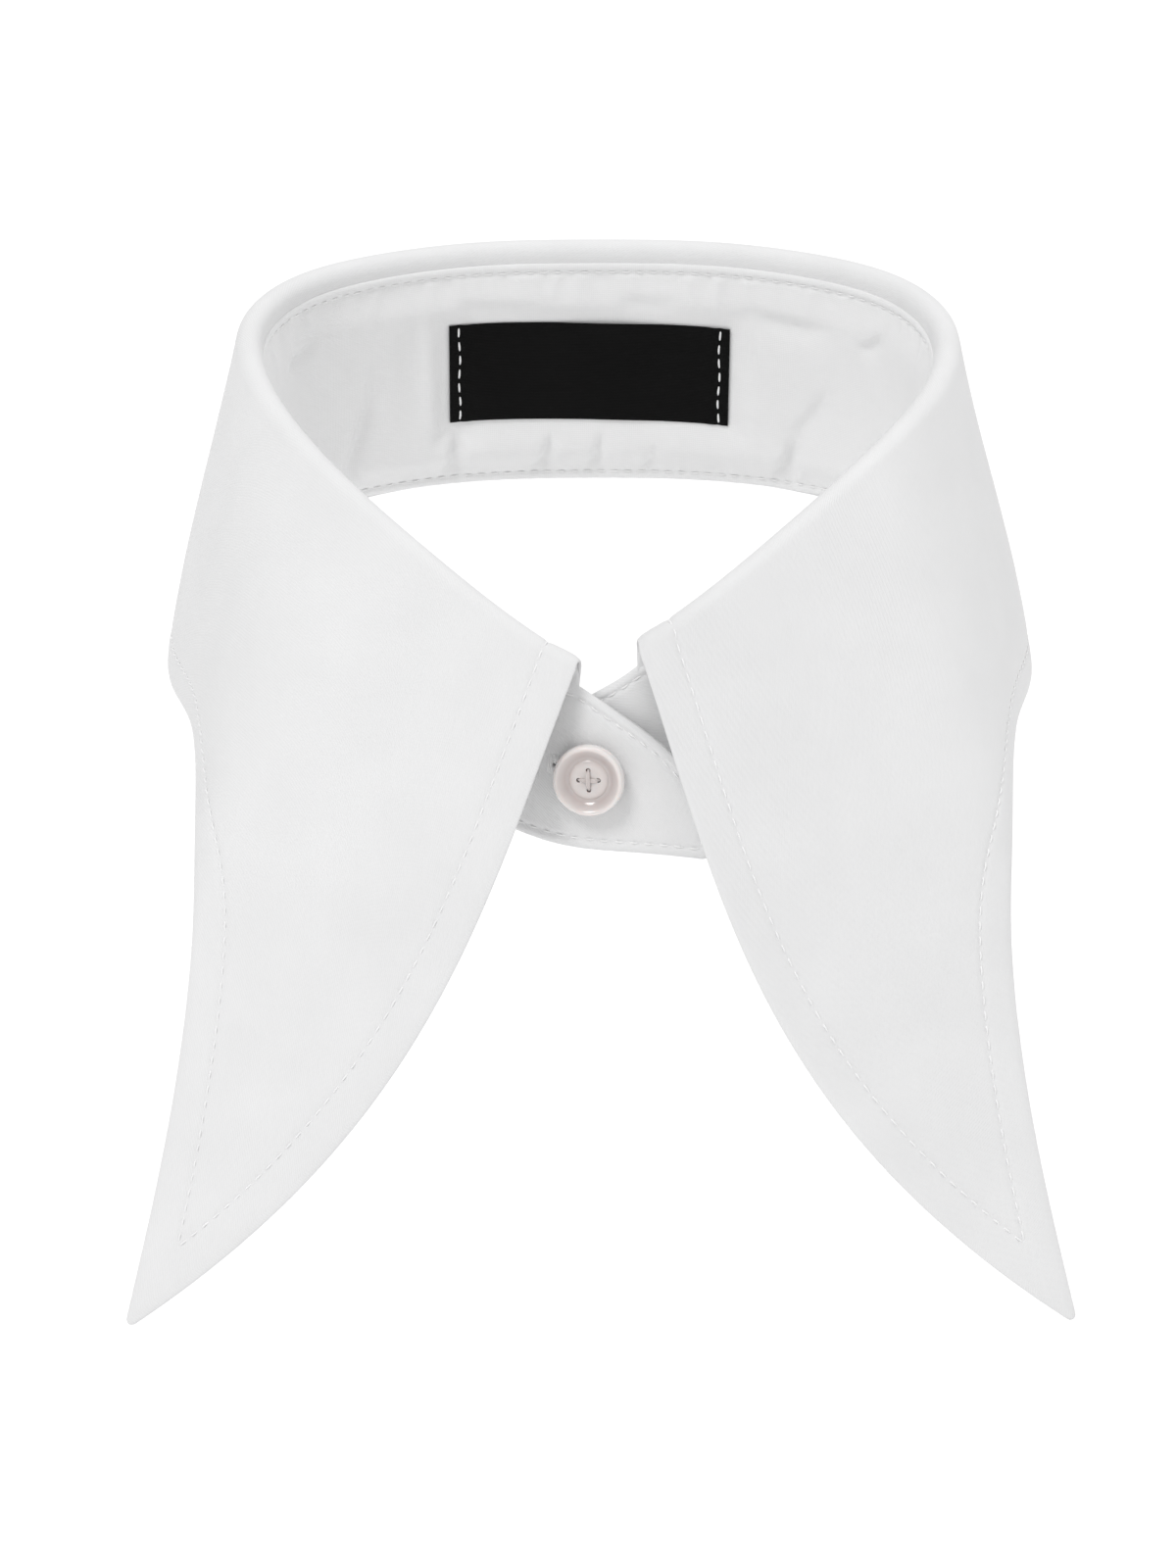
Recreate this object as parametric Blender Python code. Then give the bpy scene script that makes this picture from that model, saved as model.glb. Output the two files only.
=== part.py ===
"""A detachable shirt collar with long curved points, buttoned and standing as if round a neck.

The collar is cut and sewn cloth. A two-ply band stands round the neck and closes at the front with one button,
its end on the left of the view lapping over the other. A two-ply leaf is sewn to the band's top edge, rolls
over and falls outside it, and runs down at the front into two long points. A woven label sits inside the back.

The sizes are in millimetres and are turned into metres when a mesh is made. The neck's own frame lies in the
plane of the band's lower edge: across is to the right of the view, along runs from front to back, and height
is square to them. That plane leans by NECK_TILT, low at the front, so the world's Z stays upright.
The origin is the middle of the neck hole, in that plane.
"""
import math

import bmesh
import bpy
import numpy as np
from mathutils import Matrix

MM = 0.001

# Driving sizes
NECK_TILT = math.radians(20.0)
CLOTH = 1.0
PLY_GAP = 0.3
PLY_OFFSET = (CLOTH + PLY_GAP) / 2
ROLL_RADIUS = 1.6

# The band from centre back to where the leaf ends beside the front, one row for each section of either half.
# across, along: where the lower edge runs; lift: how far the edge is out of the neck's plane;
# height: of the band, up its slope; lean: how far its top leans in; rise: of the leaf's roll over the band;
# skew: how much higher the right half is made than this, and the left half lower, as they were buttoned
ACROSS, HEIGHT, LEAN, RISE, SKEW = 0, 3, 4, 5, 6
BAND_ROWS = (
    (0.0, 60.0, 0.0, 43.5, 0.0, 2.2, 0.0),
    (20.0, 59.0, 0.0, 43.5, 0.0, 2.2, 0.0),
    (38.0, 54.6, 0.0, 43.4, 0.4, 2.3, 0.0),
    (51.0, 45.5, 1.0, 43.2, 1.1, 2.5, 0.0),
    (58.2, 33.0, 2.2, 42.4, 1.8, 2.8, 0.0),
    (59.4, 18.0, 3.4, 41.5, 2.3, 3.0, 0.0),
    (55.6, 0.0, 4.2, 40.6, 3.0, 3.2, 0.6),
    (47.0, -18.0, 3.8, 38.2, 4.6, 3.5, 1.3),
    (33.0, -37.5, 2.4, 34.4, 6.6, 3.8, 1.5),
    (18.0, -52.5, 0.8, 30.1, 8.0, 4.0, 1.5),
)

# The two front ends of the band, past those rows. The left of the view laps over and runs straight on
# to a squared tab. The right lies behind it and carries the button.
OVER_END_ROWS = (
    (-7.0, -59.0, 0.0, 27.5, 8.6, 4.1, -1.2),
    (6.0, -61.6, 0.0, 27.2, 8.8, 4.1, -1.2),
    (16.8, -63.7, 0.0, 26.8, 8.9, 4.1, -1.2),
)
UNDER_END_ROWS = (
    (6.0, -57.9, 0.0, 27.6, 8.4, 4.1, 1.2),
    (-5.0, -56.0, 0.0, 27.2, 8.2, 4.1, 1.2),
    (-16.5, -49.6, 0.0, 26.8, 8.0, 4.1, 1.2),
)

# Each end's top edge comes down in a curve from the end of the leaf to the end of the band
TAB_DROP = 18.6
TAB_SQUARENESS = 1.35

# The leaf's lower edge, one row for each band row and the last at the point.
# x, y, z: where the edge runs, in the world's own directions;
# swell: how far the cloth stands out of a straight line from the roll to the edge;
# swing: how far both halves hang to the left of this
EDGE_X, SWELL, SWING = 0, 3, 4
LEAF_ROWS = (
    (0.0, 60.5, 20.5, 0.6, 0.0),
    (22.0, 59.5, 19.5, 0.6, 0.0),
    (42.5, 53.0, 17.0, 0.6, 0.0),
    (58.5, 43.0, 12.0, 0.6, 0.0),
    (69.0, 26.0, 4.5, 0.7, 0.0),
    (73.3, 5.0, -4.0, 1.1, -0.3),
    (68.4, -20.0, -8.5, 1.5, -0.6),
    (66.0, -46.0, -21.0, 2.2, 0.0),
    (66.2, -57.0, -41.0, 2.4, 0.6),
    (71.0, -63.0, -72.0, 1.6, 0.8),
    (77.0, -68.0, -97.6, 0.0, 0.8),
)

# The front edge of the leaf leaves the straight line from roll to point by this much: towards the centre,
# and forwards, clear of the tab. The rest of the front part follows it, from this share of each half on.
LEFT_FRONT_BOW = 14.5
RIGHT_FRONT_BOW = 16.5
FORWARD_BOW = 6.5
FRONT_BOW_FROM = 0.55

# Down the leaf the cloth arches highest at two thirds of the way, or half way. These scales make both tops 1
LOW_ARCH_SCALE = 27 / 4
EVEN_ARCH_SCALE = 4

# How finely the cloth is divided, and how far past the leaf's end and how finely a place at the front is sought
FRONT_REACH = 30.0
SEARCH_STEP = 0.1
STEP_BESIDE = 0.2
CLOTH_STEP = 8.0
END_STEP = 2.7
BUTTONHOLE_LOW = 0.45
BUTTONHOLE_HIGH = 0.52
BAND_LEVELS = (0.0, 0.2, BUTTONHOLE_LOW, BUTTONHOLE_HIGH, 0.74, 1.0)
ROLL_PARTS = 6
FALL_PARTS = 8

# Button and buttonhole
BUTTON_ACROSS = -3.0
BUTTON_LEVEL = (BUTTONHOLE_LOW + BUTTONHOLE_HIGH) / 2
BUTTON_DIAMETER = 11.5
BUTTON_THICKNESS = 2.6
BUTTON_RIM = 2.1
BUTTON_RECESS = 0.9
BUTTON_HOLE_DIAMETER = 1.3
BUTTON_HOLE_SPACING = 3.2
HOLE_OVERSHOOT = 1.0
BUTTON_SIDES = 32
HOLE_SIDES = 10
BUTTONHOLE_FROM = -10.0
BUTTONHOLE_TO = 0.5

# Label
LABEL_WIDTH = 50.0
LABEL_HEIGHT = 19.4
LABEL_LEVEL = 22.2
LABEL_SHIFT = -0.8
LABEL_COLUMNS = 8

# Colours
WHITE_CLOTH = (0.86, 0.86, 0.88, 1.0)
INNER_CLOTH = (0.83, 0.83, 0.85, 1.0)
BUTTON_COLOUR = (0.62, 0.52, 0.48, 1.0)
LABEL_COLOUR = (0.012, 0.012, 0.014, 1.0)


def clear_scene():
    for old in list(bpy.data.objects):
        bpy.data.objects.remove(old, do_unlink=True)


def material(name, colour, roughness):
    made = bpy.data.materials.new(name)
    made.use_nodes = True
    shader = made.node_tree.nodes["Principled BSDF"]
    shader.inputs["Base Color"].default_value = colour
    shader.inputs["Roughness"].default_value = roughness
    shader.inputs["Metallic"].default_value = 0.0
    return made


def unit(vectors):
    return vectors / np.linalg.norm(vectors, axis=-1, keepdims=True)


def smooth_curve(keys, values, at):
    """A natural cubic spline through the values at the keys, read at each of the places asked for."""
    keys = np.asarray(keys, float)
    values = np.asarray(values, float)
    count = len(keys)
    gaps = np.diff(keys)
    system = np.eye(count)
    target = np.zeros_like(values)
    for i in range(1, count - 1):
        system[i, i - 1:i + 2] = gaps[i - 1], 2 * (gaps[i - 1] + gaps[i]), gaps[i]
        target[i] = 6 * ((values[i + 1] - values[i]) / gaps[i] - (values[i] - values[i - 1]) / gaps[i - 1])
    bend = np.linalg.solve(system, target)
    at = np.asarray(at, float)
    i = np.clip(np.searchsorted(keys, at, side="right") - 1, 0, count - 2)
    gap = gaps[i][:, None]
    after = (at - keys[i])[:, None]
    before = gap - after
    cubic = (bend[i] * before ** 3 + bend[i + 1] * after ** 3) / (6 * gap)
    line = (values[i] / gap - bend[i] * gap / 6) * before
    return cubic + line + (values[i + 1] / gap - bend[i + 1] * gap / 6) * after


def neck_to_world(points):
    """Turns points or directions from the neck's own frame to the world."""
    across, along, height = np.moveaxis(np.asarray(points, float), -1, 0)
    return np.stack([
        across,
        along * math.cos(NECK_TILT) - height * math.sin(NECK_TILT),
        along * math.sin(NECK_TILT) + height * math.cos(NECK_TILT)], axis=-1)


def run_lengths(points):
    steps = np.linalg.norm(np.diff(points, axis=0), axis=1)
    return np.concatenate([[0.0], np.cumsum(steps)])


def mirrored(rows, turned):
    """The same rows on the other half, where the values in the turned columns change their sign."""
    signs = [-1.0 if column in turned else 1.0 for column in range(len(rows[0]))]
    return tuple(tuple(sign * value for sign, value in zip(signs, row)) for row in rows)


class Neck:
    """The band's lower edge as one run, from the tab that laps over, round the back, to the end beneath it."""

    def __init__(self):
        self.rows = np.array(
            OVER_END_ROWS[::-1] + mirrored(BAND_ROWS[:0:-1], (ACROSS, SKEW)) + BAND_ROWS + UNDER_END_ROWS, float)
        self.runs = run_lengths(self.rows[:, :2])
        back = len(OVER_END_ROWS) + len(BAND_ROWS) - 1
        self.back_run = self.runs[back]
        self.leaf_from = self.runs[len(OVER_END_ROWS) - 1]
        self.leaf_to = self.runs[-len(UNDER_END_ROWS)]
        self.leaf_rows = np.array(mirrored(LEAF_ROWS[:0:-1], (EDGE_X,)) + LEAF_ROWS, float)
        self.leaf_runs = self.runs[len(OVER_END_ROWS) - 1:-len(UNDER_END_ROWS) + 1]

    def read(self, at):
        return smooth_curve(self.runs, self.rows, at)

    def read_leaf(self, at):
        return smooth_curve(self.leaf_runs, self.leaf_rows, at)

    def run_at(self, across):
        """The run where the end that laps over passes a place across the front."""
        tries = np.arange(0.0, self.leaf_from + FRONT_REACH, SEARCH_STEP)
        return tries[np.argmin(abs(self.read(tries)[:, ACROSS] - across))]

    def frames(self, at):
        """For each run: its row, the point on the lower edge, the way square out of the cloth and the way up."""
        rows = self.read(at)
        ahead = unit(self.read(at + STEP_BESIDE)[:, :2] - self.read(at - STEP_BESIDE)[:, :2])
        level_out = np.stack([-ahead[:, 1], ahead[:, 0], np.zeros(len(ahead))], axis=1)
        lean = (rows[:, LEAN] / rows[:, HEIGHT])[:, None]
        upright = np.sqrt(1 - lean ** 2)
        height = np.array([0.0, 0.0, 1.0])
        up = height * upright - level_out * lean
        out = level_out * upright + height * lean
        return rows, rows[:, :HEIGHT], out, up

    def band_height(self, at):
        """The band's height up its slope, with the ends cut down past the leaf."""
        rows = self.read(at)
        past = np.maximum(self.leaf_from - at, at - self.leaf_to)
        over_length = self.leaf_from
        under_length = self.runs[-1] - self.leaf_to
        length = np.where(at < self.back_run, over_length, under_length)
        share = np.clip(past / length, 0.0, 1.0) ** TAB_SQUARENESS
        drop = TAB_DROP * (1 - (1 - share) ** (1 / TAB_SQUARENESS))
        return rows[:, HEIGHT] + rows[:, SKEW] - drop


def section_runs(neck):
    """The runs of all sections along the band: closer together round the buttonhole and the two front ends."""
    hole_from, hole_to = (neck.run_at(place) for place in (BUTTONHOLE_FROM, BUTTONHOLE_TO))
    marks = (0.0, hole_to, neck.leaf_from, hole_from, neck.leaf_to, neck.runs[-1])
    steps = (END_STEP, END_STEP, END_STEP, CLOTH_STEP, END_STEP)
    runs = [0.0]
    for start, stop, step in zip(marks, marks[1:], steps):
        count = max(1, round((stop - start) / step))
        runs.extend(np.linspace(start, stop, count + 1)[1:])
    return np.array(runs), hole_to, hole_from


def band_grid(neck, runs):
    """The middle of the band's cloth, one row of points for each section, from the lower edge to the top."""
    _, foot, _, up = neck.frames(runs)
    height = neck.band_height(runs)
    levels = np.array(BAND_LEVELS)
    points = foot[:, None] + up[:, None] * (height[:, None] * levels)[..., None]
    return neck_to_world(points)


def leaf_grid(neck, runs):
    """The middle of the leaf's cloth, from the band's top edge over the roll to the lower edge."""
    rows, foot, out, up = neck.frames(runs)
    leaf = neck.read_leaf(runs)
    swing = leaf[:, SWING:] * np.array([1.0, 0.0, 0.0])
    height = neck.band_height(runs)
    top = neck_to_world(foot + up * (height + PLY_GAP)[:, None])
    out = neck_to_world(out)
    up = neck_to_world(up)
    rise = (rows[:, RISE] - ROLL_RADIUS)[:, None]
    edge = leaf[:, :SWELL] - swing
    centre = top + up * rise + out * ROLL_RADIUS
    fall = edge - centre
    turn = np.arctan2(-(fall * up).sum(axis=1), (fall * out).sum(axis=1))
    columns = [top, top + up * rise]
    for part in range(1, ROLL_PARTS + 1):
        angle = (-math.pi / 2 + (turn + math.pi / 2) * part / ROLL_PARTS)[:, None]
        columns.append(centre + ROLL_RADIUS * (out * np.sin(angle) + up * np.cos(angle)))
    start = columns[-1]
    share_along = (runs - neck.leaf_from) / (neck.leaf_to - neck.leaf_from) * 2 - 1
    near_front = np.clip((abs(share_along) - FRONT_BOW_FROM) / (1 - FRONT_BOW_FROM), 0.0, 1.0) ** 2
    centreward = np.where(share_along < 0, LEFT_FRONT_BOW, -RIGHT_FRONT_BOW) * near_front
    forward = np.stack([0 * near_front, -FORWARD_BOW * near_front, 0 * near_front], axis=1)
    toward_centre = np.stack([centreward, 0 * near_front, 0 * near_front], axis=1)
    for part in range(1, FALL_PARTS + 1):
        share = part / FALL_PARTS
        low_arch = LOW_ARCH_SCALE * share ** 2 * (1 - share)
        even_arch = EVEN_ARCH_SCALE * share * (1 - share)
        swell = leaf[:, SWELL:SWING] * low_arch
        bow = toward_centre * (low_arch + even_arch) / 2 + forward * even_arch
        columns.append(start + (edge - start) * share + out * swell + bow)
    return np.stack(columns, axis=1)


def grid_normals(points):
    """Unit normals of a grid of points, worked out from its neighbours."""
    along = np.gradient(points, axis=0)
    across = np.gradient(points, axis=1)
    return unit(np.cross(along, across))


def cloth(name, points, offset, look, left_out=()):
    """One ply: a grid moved along its normals and thickened both ways."""
    moved = (points + grid_normals(points) * offset) * MM
    mesh = bpy.data.meshes.new(name)
    shape = bmesh.new()
    rows, columns = moved.shape[:2]
    verts = [[shape.verts.new(moved[i, j]) for j in range(columns)] for i in range(rows)]
    for i in range(rows - 1):
        for j in range(columns - 1):
            if (i, j) not in left_out:
                shape.faces.new((verts[i][j], verts[i + 1][j], verts[i + 1][j + 1], verts[i][j + 1]))
    loose = [vert for vert in shape.verts if not vert.link_faces]
    bmesh.ops.delete(shape, geom=loose, context="VERTS")
    shape.to_mesh(mesh)
    shape.free()
    mesh.shade_smooth()
    made = bpy.data.objects.new(name, mesh)
    bpy.context.scene.collection.objects.link(made)
    made.data.materials.append(look)
    thicken = made.modifiers.new("thickness", "SOLIDIFY")
    thicken.thickness = CLOTH * MM
    thicken.offset = 0.0
    thicken.use_even_offset = True
    return made


def make_band(neck):
    runs, hole_to, hole_from = section_runs(neck)
    points = band_grid(neck, runs)
    level = BAND_LEVELS.index(BUTTONHOLE_LOW)
    hole = {(i, level) for i, run in enumerate(runs) if hole_to <= run < hole_from}
    outer_look = material("band_outer_cloth", WHITE_CLOTH, 0.8)
    inner_look = material("band_inner_cloth", INNER_CLOTH, 0.85)
    cloth("stand_outer", points, -PLY_OFFSET, outer_look, left_out=hole)
    cloth("stand_inner", points, PLY_OFFSET, inner_look, left_out=hole)


def make_leaf(neck):
    runs = section_runs(neck)[0]
    runs = runs[(runs >= neck.leaf_from) & (runs <= neck.leaf_to)]
    points = leaf_grid(neck, runs)
    cloth("collar_upper", points, PLY_OFFSET, material("upper_leaf_cloth", WHITE_CLOTH, 0.8))
    cloth("collar_under", points, -PLY_OFFSET, material("under_leaf_cloth", WHITE_CLOTH, 0.8))


def make_label(neck):
    """The woven label: a strip of the band's own surface, moved into the neck."""
    runs = np.linspace(-LABEL_WIDTH / 2, LABEL_WIDTH / 2, LABEL_COLUMNS + 1) + neck.back_run + LABEL_SHIFT
    _, foot, _, up = neck.frames(runs)
    levels = np.linspace(LABEL_LEVEL - LABEL_HEIGHT / 2, LABEL_LEVEL + LABEL_HEIGHT / 2, 3)
    points = neck_to_world(foot[:, None] + up[:, None] * levels[:, None])
    look = material("label_cloth", LABEL_COLOUR, 0.6)
    cloth("label", points, PLY_OFFSET + CLOTH + PLY_GAP, look)


def turned_solid(name, profile, sides):
    """A closed solid of revolution about Z, from a profile that starts and ends on the axis."""
    shape = bmesh.new()
    bottom = shape.verts.new((0.0, 0.0, profile[0][1] * MM))
    top = shape.verts.new((0.0, 0.0, profile[-1][1] * MM))
    rings = []
    for radius, height in profile[1:-1]:
        ring = []
        for side in range(sides):
            angle = 2 * math.pi * side / sides
            ring.append(shape.verts.new((radius * MM * math.cos(angle), radius * MM * math.sin(angle), height * MM)))
        rings.append(ring)
    for side in range(sides):
        after = (side + 1) % sides
        shape.faces.new((bottom, rings[0][after], rings[0][side]))
        shape.faces.new((top, rings[-1][side], rings[-1][after]))
        for lower, upper in zip(rings, rings[1:]):
            shape.faces.new((lower[side], lower[after], upper[after], upper[side]))
    mesh = bpy.data.meshes.new(name)
    shape.to_mesh(mesh)
    shape.free()
    made = bpy.data.objects.new(name, mesh)
    bpy.context.scene.collection.objects.link(made)
    return made


def make_button(neck):
    """A four-hole shirt button: a broad raised rim round a lower disc, lying on the end that laps over."""
    radius = BUTTON_DIAMETER / 2
    edge = BUTTON_THICKNESS * 0.2
    floor = BUTTON_THICKNESS - BUTTON_RECESS
    profile = (
        (0.0, 0.0),
        (radius - 2 * edge, 0.0),
        (radius - edge * 0.5, edge),
        (radius, BUTTON_THICKNESS / 2),
        (radius - edge * 0.4, BUTTON_THICKNESS - edge),
        (radius - edge * 1.6, BUTTON_THICKNESS),
        (radius - BUTTON_RIM + edge * 0.6, BUTTON_THICKNESS),
        (radius - BUTTON_RIM - edge * 0.3, floor),
        (0.0, floor))
    button = turned_solid("button", profile, BUTTON_SIDES)
    run = np.array([neck.run_at(BUTTON_ACROSS)])
    _, foot, out, up = neck.frames(run)
    level = neck.band_height(run)[0] * BUTTON_LEVEL
    seat = PLY_OFFSET + CLOTH / 2 + PLY_GAP
    place = neck_to_world(foot[0] + up[0] * level + out[0] * seat)
    out = neck_to_world(out[0])
    up = neck_to_world(up[0])
    side = np.cross(up, out)
    turn = Matrix((side, up, out)).transposed().to_4x4()
    button.matrix_world = Matrix.Translation(place * MM) @ turn
    button.data.materials.append(material("button_plastic", BUTTON_COLOUR, 0.25))
    button.data.shade_smooth()
    button.data.set_sharp_from_angle(angle=math.radians(40))
    hole_radius = BUTTON_HOLE_DIAMETER / 2
    below = -HOLE_OVERSHOOT
    above = BUTTON_THICKNESS + HOLE_OVERSHOOT
    reach = BUTTON_HOLE_SPACING / 2 * MM
    for number in range(4):
        angle = math.radians(90 * number)
        hole = turned_solid(
            "button_hole_cutter", ((0.0, below), (hole_radius, below), (hole_radius, above), (0.0, above)),
            HOLE_SIDES)
        local = Matrix.Translation((reach * math.cos(angle), reach * math.sin(angle), 0.0))
        hole.matrix_world = button.matrix_world @ local
        hole.hide_render = True
        hole.display_type = "WIRE"
        cut = button.modifiers.new("thread hole", "BOOLEAN")
        cut.object = hole
        cut.operation = "DIFFERENCE"
        cut.solver = "EXACT"


def main():
    clear_scene()
    neck = Neck()
    make_band(neck)
    make_leaf(neck)
    make_label(neck)
    make_button(neck)


main()
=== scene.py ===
"""Looks of the detachable shirt collar: fine cloth, sewing, label, button, light and camera.

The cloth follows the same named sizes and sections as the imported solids, in millimetres, at a finer step.
It adds the real cloth's thickness, rolled edges, grooves under the stitching and the lining's creases.
"""
import math

import bmesh
import bpy
import numpy as np
from mathutils import Matrix, Vector
from mathutils.kdtree import KDTree

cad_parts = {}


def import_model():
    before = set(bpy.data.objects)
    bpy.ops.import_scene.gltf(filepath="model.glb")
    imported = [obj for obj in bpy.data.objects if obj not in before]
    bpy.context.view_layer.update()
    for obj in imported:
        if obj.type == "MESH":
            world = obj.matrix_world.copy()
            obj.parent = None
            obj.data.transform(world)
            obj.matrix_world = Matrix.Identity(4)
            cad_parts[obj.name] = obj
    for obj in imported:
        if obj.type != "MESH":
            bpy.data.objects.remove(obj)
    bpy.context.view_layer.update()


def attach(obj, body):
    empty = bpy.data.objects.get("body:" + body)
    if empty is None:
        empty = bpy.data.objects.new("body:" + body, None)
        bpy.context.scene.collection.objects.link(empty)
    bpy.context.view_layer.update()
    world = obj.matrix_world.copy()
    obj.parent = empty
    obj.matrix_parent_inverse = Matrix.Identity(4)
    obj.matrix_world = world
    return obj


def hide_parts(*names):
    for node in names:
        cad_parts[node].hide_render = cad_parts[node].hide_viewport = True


MM = 0.001
BODY = "root"

# The neck's frame and the sections of the band and the leaf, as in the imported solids
NECK_TILT = math.radians(20.0)
ROLL_RADIUS = 1.6
SEAM_GAP = 0.3
FRONT_REACH = 30.0
RUN_TRIES = 800

# across, along, lift, height, lean, rise, skew
ACROSS, HEIGHT, LEAN, RISE, SKEW = 0, 3, 4, 5, 6
BAND_ROWS = (
    (0.0, 60.0, 0.0, 43.5, 0.0, 2.2, 0.0),
    (20.0, 59.0, 0.0, 43.5, 0.0, 2.2, 0.0),
    (38.0, 54.6, 0.0, 43.4, 0.4, 2.3, 0.0),
    (51.0, 45.5, 1.0, 43.2, 1.1, 2.5, 0.0),
    (58.2, 33.0, 2.2, 42.4, 1.8, 2.8, 0.0),
    (59.4, 18.0, 3.4, 41.5, 2.3, 3.0, 0.0),
    (55.6, 0.0, 4.2, 40.6, 3.0, 3.2, 0.6),
    (47.0, -18.0, 3.8, 38.2, 4.6, 3.5, 1.3),
    (33.0, -37.5, 2.4, 34.4, 6.6, 3.8, 1.5),
    (18.0, -52.5, 0.8, 30.1, 8.0, 4.0, 1.5),
)
OVER_END_ROWS = (
    (-7.0, -59.0, 0.0, 27.5, 8.6, 4.1, -1.2),
    (6.0, -61.6, 0.0, 27.2, 8.8, 4.1, -1.2),
    (16.8, -63.7, 0.0, 26.8, 8.9, 4.1, -1.2),
)
UNDER_END_ROWS = (
    (6.0, -57.9, 0.0, 27.6, 8.4, 4.1, 1.2),
    (-5.0, -56.0, 0.0, 27.2, 8.2, 4.1, 1.2),
    (-16.5, -49.6, 0.0, 26.8, 8.0, 4.1, 1.2),
)
TAB_DROP = 18.6
TAB_SQUARENESS = 1.35

# edge_x, edge_y, edge_z, swell, swing
EDGE_X, SWELL, SWING = 0, 3, 4
LEAF_ROWS = (
    (0.0, 60.5, 20.5, 0.6, 0.0),
    (22.0, 59.5, 19.5, 0.6, 0.0),
    (42.5, 53.0, 17.0, 0.6, 0.0),
    (58.5, 43.0, 12.0, 0.6, 0.0),
    (69.0, 26.0, 4.5, 0.7, 0.0),
    (73.3, 5.0, -4.0, 1.1, -0.3),
    (68.4, -20.0, -8.5, 1.5, -0.6),
    (66.0, -46.0, -21.0, 2.2, 0.0),
    (66.2, -57.0, -41.0, 2.4, 0.6),
    (71.0, -63.0, -72.0, 1.6, 0.8),
    (77.0, -68.0, -97.6, 0.0, 0.8),
)
LEFT_FRONT_BOW = 14.5
RIGHT_FRONT_BOW = 16.5
FORWARD_BOW = 6.5
FRONT_BOW_FROM = 0.55
LOW_ARCH_SCALE = 27 / 4
EVEN_ARCH_SCALE = 4

# The real cloth
PLY = 0.55
PLY_OFFSET = 0.42
EDGE_ROUND = 0.5
EDGE_CURL = 0.3
UNDER_INSET = 0.55
SEAM_FLARE = 0.3
TIP_RADIUS = 0.9
TAB_CORNER_RADIUS = 1.6
NEAR_EDGE = (0.0, 0.1, 0.25, 0.5)
BORDER_STEP = 0.04
ROLL_PARTS = 16
FINE_ZONE = 13.0
FINE_STEP = 0.42
FALL_PARTS = 44

# Sewing
LEAF_STITCH_INSET = 6.0
BAND_STITCH_INSET = 1.7
STITCH_PITCH = 2.4
STITCH_SHARE = 0.76
THREAD_RADIUS = 0.16
THREAD_SINK = 0.6
THREAD_LIFT = 2.2
GROOVE_DEPTH = 0.20
GROOVE_WIDTH = 0.45

# Button and buttonhole
BUTTON_ACROSS = -3.0
BUTTON_LEVEL = 0.485
BUTTON_RADIUS = 5.8
BUTTON_SEAT = 1.15
BUTTON_FLOOR = 1.85
HOLE_REACH = 1.6
HOLE_RADIUS = 0.38
BUTTON_THREAD = 0.13
HOLE_TURN = math.radians(6.0)
# Tones of the button by distance from its centre: partly the resin's own tone, with painted shade darkening
# the hollow ring and a painted highlight lightening the outer rim
RESIN_TONES_AND_PAINTED_SHADE = (
    (0.40, (0.62, 0.575, 0.56)),
    (0.54, (0.56, 0.505, 0.49)),
    (0.66, (0.52, 0.455, 0.44)),
    (0.84, (0.63, 0.585, 0.57)),
    (0.97, (0.74, 0.71, 0.70)),
)
BUTTONHOLE_FROM = -10.2
BUTTONHOLE_TO = 0.4
BUTTONHOLE_HALF_WIDTH = 0.16
BUTTONHOLE_STITCH = 1.7

# Label
LABEL_WIDTH = 50.0
LABEL_HEIGHT = 19.4
LABEL_LEVEL = 22.2
LABEL_SHIFT = -0.8
LABEL_TURN = 0.02
LABEL_PLY = 0.4
LABEL_SEAT = 0.98
LABEL_STITCH_INSET = 1.8

# How far the lining stands off between its seams, and by how much its creases are deepened
LINING_PUFF = 1.35
CREASE_SCALE = 2.3

# Creases of the lining at the back: run from the centre back and height above the lower edge, at both ends,
# then the width of the crease and how deep it is
LINING_CREASES = (
    (-48.0, 2.0, -40.0, 27.0, 1.8, 0.80),
    (-26.5, 2.0, -24.5, 16.0, 1.5, 0.80),
    (-10.5, 2.0, -7.5, 11.5, 1.1, 0.50),
    (-1.0, 2.0, 1.5, 11.5, 1.1, 0.50),
    (9.0, 2.0, 11.0, 9.0, 1.0, 0.30),
    (33.0, 1.5, 37.0, 12.0, 1.6, 0.80),
    (37.0, 12.0, 44.0, 24.0, 2.4, 0.35),
    (-24.0, 36.2, -8.0, 35.6, 2.1, 0.40),
    (5.0, 36.6, 16.0, 36.4, 1.9, 0.36),
    (29.0, 34.8, 44.0, 34.0, 2.0, 0.42),
    (-33.0, 34.0, -30.5, 14.0, 2.2, 0.40),
    (27.5, 36.0, 29.5, 18.0, 1.8, 0.35),
    (-62.0, 33.0, -52.0, 37.0, 1.5, 0.50),
    (50.0, 32.0, 57.0, 38.0, 1.8, 0.40),
)

# Light: each lamp's name, the way to it from the collar, how wide it looks in degrees, and its strength
WORLD_STRENGTH = 0.62
LAMPS = (
    ("key", (-0.50, -0.75, 1.0), 22.0, 1.3),
    ("fill", (0.9, -0.8, 0.5), 50.0, 0.2),
    ("top", (0.5, 0.3, 1.0), 60.0, 0.8),
)
FLOOR_HEIGHT = -0.34

# Camera, fitted to the photograph's frame
IMAGE_HEIGHT_PX = 1600
FOCAL_PX = 5160.0
CAMERA_DISTANCE = 860.0
CAMERA_ELEVATION = math.radians(13.0)
CAMERA_AZIMUTH = math.radians(1.0)
CENTRE_DOWN_PX = 135.0
CENTRE_RIGHT_PX = 11.0
SENSOR_HEIGHT = 24.0


def unit(vectors):
    return vectors / np.maximum(np.linalg.norm(vectors, axis=-1, keepdims=True), 1e-12)


def smooth_step(values, low, high):
    share = np.clip((values - low) / (high - low), 0.0, 1.0)
    return share * share * (3 - 2 * share)


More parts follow.
